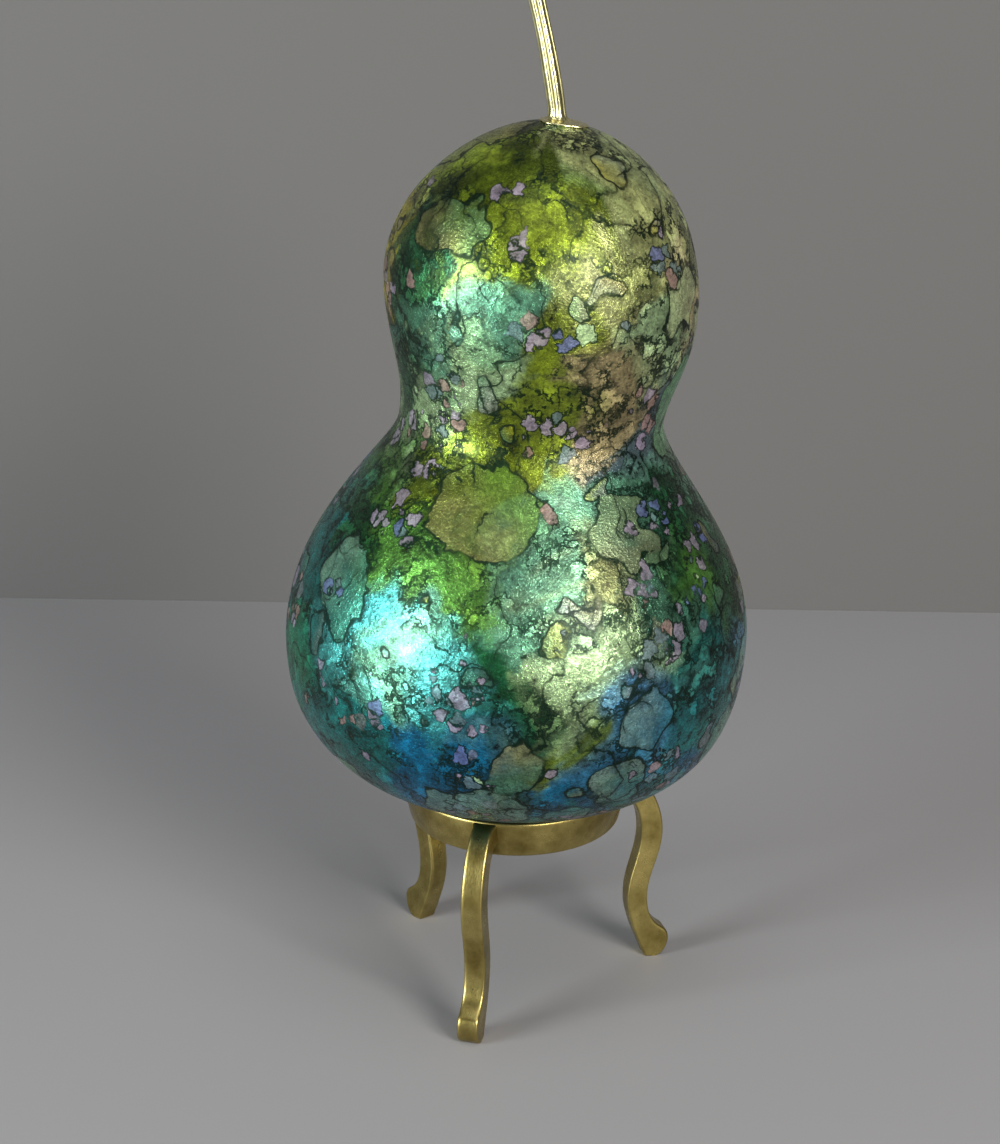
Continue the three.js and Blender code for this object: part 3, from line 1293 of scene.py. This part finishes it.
@dataclass
class Stem:
    """The ridged stalk and its flared foot, one skin from the foot's rim up to the tip."""

    gourd: Gourd
    root: tuple[float, float, float] = (6.9, -0.5, 193.6)
    bend: tuple[float, float, float] = (4.2, -0.5, 213.6)
    tip: tuple[float, float, float] = (-2.6, -0.5, 233.6)
    radius: float = 1.78
    ridges: int = 6
    ridge_depth: float = 0.32
    ridge_turn: float = 21.0
    foot_centre: tuple[float, float] = (7.9, -0.5)
    foot_radius: float = 4.9
    foot_rim: float = 0.5
    foot_lift: float = 0.02
    stalk_span: tuple[float, float] = (0.085, 0.985)
    tip_rings: Corners = ((0.99, 0.93), (0.994, 0.8), (0.9965, 0.62), (0.994, 0.45), (0.991, 0.25))
    rows: int = 150
    columns: int = 128
    finish: Gilding = field(default_factory=Gilding)

    def _path(self, t: np.ndarray) -> tuple[np.ndarray, np.ndarray]:
        """Follows the stalk: a curve of the second degree from root to tip, drawn towards the bend.

        Args:
            t: shares of the way, from 0 at the root to 1 at the tip.

        Returns:
            Places and directions.
        """
        shift = (*self.gourd.axis, 0)
        a, b, c = (np.asarray(point, float) + shift for point in (self.root, self.bend, self.tip))
        t = t[:, None]
        place = (1 - t) ** 2 * a + 2 * (1 - t) * t * b + t**2 * c
        along = 2 * (1 - t) * (b - a) + 2 * t * (c - b)
        return place, along / np.linalg.norm(along, axis=1, keepdims=True)

    def _ridge(self, angle: np.ndarray) -> np.ndarray:
        """Gives the furrow's depth from 0 on a ridge to 1 in a furrow: a cosine with its crests broadened."""
        wave = 0.5 + 0.5 * np.cos(self.ridges * (angle - math.radians(self.ridge_turn)))
        return wave**1.8

    def _stalk(self, angle: np.ndarray) -> tuple[np.ndarray, np.ndarray]:
        """Works out the stalk above the foot.

        A point is the path's place plus the radius, less the furrow, times the cosine and sine of the angle
        along two directions square to the path. The tip is rounded in and dished by a few last rings, each a
        share of the path and a share of the radius.

        Args:
            angle: angles round the stalk.

        Returns:
            The points and the furrow's depth at each.
        """
        shares = np.linspace(*self.stalk_span, self.rows)
        place, along = self._path(shares)
        swell = 1 + 0.05 * np.sin(9 * shares) + 0.1 * smooth(shares, 0.85, 1.0)
        furrow = self._ridge(angle)[None, :] + 0 * shares[:, None]
        radius = self.radius * swell[:, None] - self.ridge_depth * furrow
        tip_shares, tip_sizes = np.array(self.tip_rings).T
        tip_place, tip_along = self._path(tip_shares)
        tip_radius = radius[-1:] * tip_sizes[:, None]
        place = np.concatenate([place, tip_place])
        along = np.concatenate([along, tip_along])
        radius = np.concatenate([radius, tip_radius])
        furrow = np.concatenate([furrow, furrow[-1:] * np.ones_like(tip_radius)])
        front = np.array([0.0, 1.0, 0.0])
        right = np.cross(front, along)
        right /= np.linalg.norm(right, axis=1, keepdims=True)
        ahead = np.cross(along, right)
        spread = angle[None, :, None]
        ring = right[:, None] * np.cos(spread) + ahead[:, None] * np.sin(spread)
        return place[:, None] + radius[..., None] * ring, furrow

    def _foot(self, angle: np.ndarray, top: np.ndarray) -> np.ndarray:
        """Works out the foot: rings on the crown that draw in from the rim and rise to meet the stalk.

        A point's distance from the foot's middle goes from the rim to the stalk's own ring, and its height is
        the crown's height there plus the foot's thickness, which is round at the rim, nearly even across the
        saucer and sweeps up to the stalk as a power of the share.

        Args:
            angle: angles round the foot.
            top: the stalk's lowest ring.

        Returns:
            The points from the foot's underside out to the rim and in to the stalk.
        """
        middle = np.add(self.foot_centre, self.gourd.axis)
        unsteady = 1 + 0.035 * np.cos(3 * angle + 1.0) + 0.02 * np.cos(8 * angle)
        spokes = np.stack([np.cos(angle), np.sin(angle)], axis=-1) * self.foot_radius * unsteady[:, None]
        under = middle + spokes * np.array([0.25, 0.6, 0.93])[:, None, None]
        under_rise = 0 * under[..., 0]
        turn = np.radians(np.linspace(-90, 80, 8))[:, None]
        lip = 0.5 * self.foot_rim
        out = 1 - lip * (1 - np.cos(turn)) / self.foot_radius
        edge = middle + spokes * out[..., None]
        edge_rise = lip + lip * np.sin(turn) + 0 * edge[..., 0]
        shares = np.linspace(0.03, 0.97, 26)[:, None]
        start, end = edge[-1], top[:, :2]
        flank = start + (end - start) * (1 - (1 - shares[..., None]) ** 1.25)
        climb = top[:, 2] - self.gourd.crown(end[:, 0], end[:, 1]) - self.foot_rim
        ridge = 0.12 * (0.5 - self._ridge(angle)) * np.sin(np.pi * np.clip(shares * 1.1, 0, 1))
        flank_rise = self.foot_rim + climb * shares**9 + ridge
        plan = np.concatenate([under, edge, flank])
        rise = np.concatenate([under_rise, edge_rise, flank_rise])
        height = self.gourd.crown(plan[..., 0], plan[..., 1]) + rise + self.foot_lift
        return np.concatenate([plan, height[..., None]], axis=-1)

    def build(self) -> bpy.types.Object:
        """Makes the stem and puts it in its node's place.

        Returns:
            The piece.
        """
        angle = np.linspace(0, 2 * np.pi, self.columns, endpoint=False)
        stalk, furrow = self._stalk(angle)
        foot = self._foot(angle, stalk[0])
        surface = Surface(np.concatenate([foot, stalk]))
        # The furrow value fades out over the foot, and the gilding paints shade from it into the grooves.
        fading = np.linspace(0.0, 1.0, len(foot))[:, None] ** 3
        surface.give("furrow", np.concatenate([self._ridge(angle)[None, :] * fading, furrow]))
        piece = surface.mesh("stem_gilded")
        settle(piece, self.finish.material(), "gilded_stem", "gourd_stem")
        return piece


@dataclass
class StandRing:
    """The stand's band: a rounded rectangle turned about the axis."""

    axis: tuple[float, float]
    radius: float = 25.0
    wall: float = 2.3
    bottom: float = 40.0
    top: float = 48.3
    edge_round: float = 0.55
    taper: float = 1.5
    unevenness: float = 0.05
    columns: int = 240
    round_steps: int = 6
    flat_points: Corners = ((0.06, 0.35), (0.3, 0.0), (0.5, 0.0), (0.7, 0.0), (0.94, 0.35))

    def _section(self) -> tuple[np.ndarray, np.ndarray]:
        """Draws the band's section: four quarter circles joined by straight lines with points of their own.

        A point of a straight line is a share of its length and how far the edge's painted highlight
        reaches there.

        Returns:
            Radius and height of each point, and how far it lies on a rounded edge.
        """
        r = self.edge_round
        inner, outer = self.radius - self.wall + r, self.radius - r
        low, high = self.bottom + r, self.top - r
        centres = np.array([(outer, low), (outer, high), (inner, high), (inner, low)])
        share, edge_highlight = np.array(self.flat_points).T
        points, edges = [], []
        for k, centre in enumerate(centres):
            angle = np.radians(90 * k - 90) + np.linspace(0, np.pi / 2, self.round_steps + 1)
            arc = centre + r * np.stack([np.cos(angle), np.sin(angle)], axis=-1)
            points += [arc, arc[-1] + (centres[(k + 1) % 4] - centre) * share[:, None]]
            edges += [np.ones(len(arc)), edge_highlight]
        return np.concatenate(points), np.concatenate(edges)

    def build(self, finish: bpy.types.Material) -> bpy.types.Object:
        """Makes the band and puts it in its node's place.

        A point at angle a is the section's radius times the cosine and sine of a, a little uneven as
        hand-made bands are. The outer wall draws in by the taper times a power of the share of the height
        below the top.

        Args:
            finish: the brass.

        Returns:
            The piece.
        """
        section, edge = self._section()
        angle = np.linspace(0, 2 * np.pi, self.columns, endpoint=False)[:, None]
        outward = smooth(section[:, 0], self.radius - self.wall, self.radius)
        down = np.clip((self.top - section[:, 1]) / (self.top - self.bottom), 0, 1)
        uneven = self.unevenness * (1 + np.cos(2 * angle + 0.6))
        radius = section[:, 0] - self.taper * outward * down**1.6 - uneven
        x, y = self.axis[0] + radius * np.cos(angle), self.axis[1] + radius * np.sin(angle)
        z = section[:, 1] + 0 * angle
        surface = Surface(np.stack([x, y, z], axis=-1), looped=True)
        # The edge value paints a highlight along the band's rounded edges and makes them a little rougher.
        surface.give("edge", edge + 0 * angle)
        piece = surface.mesh("ring_brass")
        settle(piece, finish, "stand_brass", "stand_ring")
        return piece


@dataclass
class StandLeg:
    """One leg: a square bar bent to an S, with a rounded toe and a flat sole."""

    name: str
    azimuth: float
    axis: tuple[float, float]
    width: float = 4.7
    root: float = 24.2
    root_top: float = 48.0
    root_bottom: float = 43.2
    corner: float = 0.6
    outer_corners: Corners = (
        (30.6, 47.6), (34.9, 38.5), (34.9, 32.3),
        (34.9, 26), (31.7, 22), (31.7, 16),
        (31.7, 11.5), (33, 9), (36, 7),
    )
    inner_corners: Corners = (
        (27.4, 41.5), (29.7, 37.5), (29.7, 32),
        (29.7, 26), (26.9, 22), (26.9, 15.6),
        (26.9, 10.5), (29.5, 5.2), (31.5, 0.35),
    )
    toe_corners: Corners = ((36, 7), (38.3, 5.4), (37, 0.6), (34.6, 0.05))
    toe_end: tuple[float, float] = (33.6, 0.0)
    sole_corners: Corners = (
        (31.5, 0.35), (31.6, 0.0), (31.8, 0.0), (32.2, 0.0), (32.5, 0.0), (33.0, 0.0), (33.3, 0.0),
    )
    flat_points: Corners = ((0.08, 0.35), (0.5, 0.0), (0.92, 0.35))
    solder: float = 0.22
    solder_reach: float = 2.2
    stations: int = 150
    toe_stations: int = 30

    def _edges(self) -> tuple[np.ndarray, np.ndarray]:
        """Draws the leg's outer and inner edge from the ring down.

        The outer edge swells to a knee, draws in at a waist and kicks out to the toe. The inner edge follows
        it to the heel. Past there the outer edge rounds the toe and the inner edge runs along the sole, until
        they all but meet.

        Returns:
            Distance from the ring's axis and height along each edge, with as many rows on both.
        """
        outer = chain(((self.root, self.root_top), *self.outer_corners), 80)
        inner = chain(((self.root, self.root_bottom), *self.inner_corners), 80)
        toe = np.concatenate([bezier(self.toe_corners, 60), [self.toe_end]])
        sole = chain(self.sole_corners, 30)
        shares = np.linspace(0, 1, self.stations)
        more = np.linspace(0, 1, self.toe_stations + 1)[1:]
        return (
            np.concatenate([evenly(outer, shares), evenly(toe, more)]),
            np.concatenate([evenly(inner, shares), evenly(sole, more)]),
        )

    def _section(self, half: np.ndarray) -> tuple[np.ndarray, np.ndarray, np.ndarray]:
        """Draws a rounded rectangle at each station, as wide as the bar and as thick as the edges are apart.

        It is four quarter circles, each followed by a straight line to the next. A point of a straight line
        is a share of its length and how far the edge's painted highlight reaches there.

        Args:
            half: half the thickness at each station.

        Returns:
            The part across the thickness, the part across the width, and how far a point is on a corner.
        """
        corner = np.minimum(self.corner, 0.9 * half)[:, None]
        angle = np.linspace(0, np.pi / 2, 6)
        quarter = np.stack([np.cos(angle), np.sin(angle)])
        share, edge_highlight = np.array(self.flat_points).T
        across, along, edges = [], [], []
        for turn in range(4):
            c, s = math.cos(turn * math.pi / 2), math.sin(turn * math.pi / 2)
            rounded = (c * quarter[0] - s * quarter[1], s * quarter[0] + c * quarter[1])
            sign = (1 if turn in (0, 3) else -1, 1 if turn in (0, 1) else -1)
            across.append(sign[0] * (half[:, None] - corner) + corner * rounded[0])
            along.append(sign[1] * (self.width / 2 - corner) + corner * rounded[1])
            if turn in (0, 2):
                across.append(sign[0] * (half[:, None] - corner) * (1 - 2 * share))
                along.append(sign[1] * (self.width / 2) + 0 * corner * share)
            else:
                across.append(sign[0] * half[:, None] + 0 * share)
                along.append(sign[1] * (self.width / 2 - corner) * (1 - 2 * share))
            edges += [np.ones(len(angle)), edge_highlight]
        edge = np.concatenate(edges) + 0 * half[:, None]
        return np.concatenate(across, axis=1), np.concatenate(along, axis=1), edge

    def build(self, finish: bpy.types.Material) -> bpy.types.Object:
        """Makes the leg and puts it in its node's place.

        At each station the section is set between the two edges: its thickness runs from the inner edge to
        the outer one and its width runs round the ring. Solder widens the bar a little near the ring.

        Args:
            finish: the brass.

        Returns:
            The piece.
        """
        outer, inner = self._edges()
        middle, span = (outer + inner) / 2, outer - inner
        half = np.linalg.norm(span, axis=1) / 2
        direction = span / (2 * half[:, None])
        across, along, edge = self._section(half)
        near = 1 - smooth(middle[:, 0], self.root, self.root + self.solder_reach)
        flare = 1 + self.solder * near * (middle[:, 1] > 40)
        along = along * flare[:, None]
        away = middle[:, :1] + across * direction[:, :1]
        height = middle[:, 1:] + across * direction[:, 1:]
        turn = math.radians(self.azimuth)
        x = self.axis[0] + away * math.cos(turn) - along * math.sin(turn)
        y = self.axis[1] + away * math.sin(turn) + along * math.cos(turn)
        surface = Surface(np.stack([x, y, height], axis=-1))
        # The edge value paints a highlight along the bar's rounded edges and makes them a little rougher.
        surface.give("edge", edge)
        piece = surface.mesh(self.name + "_brass")
        settle(piece, finish, "stand_brass", "stand_" + self.name)
        return piece


@dataclass(frozen=True)
class SoftBox:
    """A lamp with an even bright face, turned towards the gourd.

    It stands at a turn from the front to the viewer's right, in degrees. Its height, its distance and its
    width and height are in metres, and its power is in watts. Its colour is linear.
    """

    name: str
    turn: float
    height: float
    distance: float
    size: tuple[float, float]
    power: float
    colour: tuple[float, float, float]
    aim_height: float = 0.12

    def light(self) -> None:
        """Adds the lamp to the scene."""
        data = bpy.data.lights.new(self.name, "AREA")
        data.shape = "RECTANGLE"
        data.size, data.size_y = self.size
        data.energy = self.power
        data.color = self.colour
        lamp = bpy.data.objects.new(self.name, data)
        angle = math.radians(self.turn)
        lamp.location = (self.distance * math.sin(angle), -self.distance * math.cos(angle), self.height)
        aim = Vector((0, 0, self.aim_height)) - lamp.location
        lamp.rotation_euler = aim.to_track_quat("-Z", "Y").to_euler()
        bpy.context.scene.collection.objects.link(lamp)


SOFT_BOXES = (
    SoftBox("left_box", -57, 0.25, 0.9, (0.34, 0.42), 10.0, (0.93, 1.0, 1.0)),
    SoftBox("right_box", 34, 0.5, 1.0, (0.44, 0.42), 12.0, (1.0, 0.98, 0.93)),
    SoftBox("overhead", 10, 1.25, 0.45, (0.9, 0.7), 4.5, (1.0, 1.0, 1.0)),
)


@dataclass
class Studio:
    """Floor, wall, lamps and the camera at the photograph's angle."""

    axis: tuple[float, float]
    distance: float = 453.8
    height: float = 252.3
    pitch: float = 18.9
    yaw: float = -0.5
    roll: float = 0.7
    focal_pixels: float = 2200.0
    frame_height: float = 1144.0
    sensor: float = 36.0
    wall_distance: float = 248.0
    reach: float = 3.0
    wall_height: float = 1.6
    floor_grey: Display = (150, 148, 150)
    wall_grey: Display = (98, 96, 95)
    surround: tuple[float, float, float, float] = (0.5, 0.52, 0.55, 1.0)
    surround_strength: float = 0.095

    def camera(self) -> None:
        """Sets up the camera before the ring's axis, looking down by the pitch, turned by yaw and roll."""
        pitch, yaw, roll = (math.radians(angle) for angle in (self.pitch, self.yaw, self.roll))
        level = Vector((math.sin(yaw), math.cos(yaw), 0))
        ahead = level * math.cos(pitch) - Vector((0, 0, math.sin(pitch)))
        right = Vector((math.cos(yaw), -math.sin(yaw), 0))
        up = right.cross(ahead)
        turned = math.cos(roll) * right + math.sin(roll) * up
        upright = math.cos(roll) * up - math.sin(roll) * right
        data = bpy.data.cameras.new("camera")
        data.sensor_width = self.sensor
        data.lens = self.focal_pixels / self.frame_height * self.sensor
        data.clip_start, data.clip_end = 0.01, 50
        camera = bpy.data.objects.new("camera", data)
        place = Vector((self.axis[0], self.axis[1] - self.distance, self.height)) * MM
        rotation = Matrix((turned, upright, -ahead)).transposed().to_4x4()
        camera.matrix_world = Matrix.Translation(place) @ rotation
        bpy.context.scene.collection.objects.link(camera)
        bpy.context.scene.camera = camera

    def _sheet(
        self, name: str, corners: list[tuple[float, float, float]], material: bpy.types.Material
    ) -> None:
        """Adds one flat sheet of the studio, which is no part of the object.

        Args:
            name: name of the sheet.
            corners: its four corners in metres.
            material: its surface.
        """
        data = bpy.data.meshes.new(name)
        data.from_pydata(corners, [], [(0, 1, 2, 3)])
        data.materials.append(material)
        sheet = bpy.data.objects.new(name, data)
        bpy.context.scene.collection.objects.link(sheet)

    def room(self) -> None:
        """Adds the floor and the wall behind."""
        wide, high, back = self.reach, self.wall_height, (self.axis[1] + self.wall_distance) * MM
        floor = PaleFloor("floor_grey", self.floor_grey).material()
        wall = PaleFloor("wall_grey", self.wall_grey, one_sided=True).material()
        ground = [(-wide, -wide, 0), (wide, -wide, 0), (wide, wide, 0), (-wide, wide, 0)]
        behind = [(-wide, back, 0), (wide, back, 0), (wide, back, high), (-wide, back, high)]
        self._sheet("floor", ground, floor)
        self._sheet("wall", behind, wall)

    def lamps(self) -> None:
        """Adds the two soft boxes that the skin shows, a soft light overhead and an even grey surround."""
        for box in SOFT_BOXES:
            box.light()
        world = bpy.data.worlds.new("surround")
        world.use_nodes = True
        background = world.node_tree.nodes["Background"]
        background.inputs[0].default_value = self.surround
        background.inputs[1].default_value = self.surround_strength
        bpy.context.scene.world = world
        bpy.context.scene.view_settings.view_transform = "Standard"


def main() -> None:
    """Builds the studio and every piece in order."""
    logging.basicConfig(level=logging.INFO)
    low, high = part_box("stand_ring")
    axis = (float(low.x + high.x) / 2 / MM, float(low.y + high.y) / 2 / MM)
    studio = Studio(axis)
    studio.camera()
    studio.room()
    studio.lamps()
    brass = AgedBrass().material()
    StandRing(axis).build(brass)
    for name, azimuth in LEG_AZIMUTHS.items():
        StandLeg(name, azimuth, axis).build(brass)
    gourd = Gourd(axis)
    gourd.build()
    Stem(gourd).build()


if __name__ == "__main__":
    main()
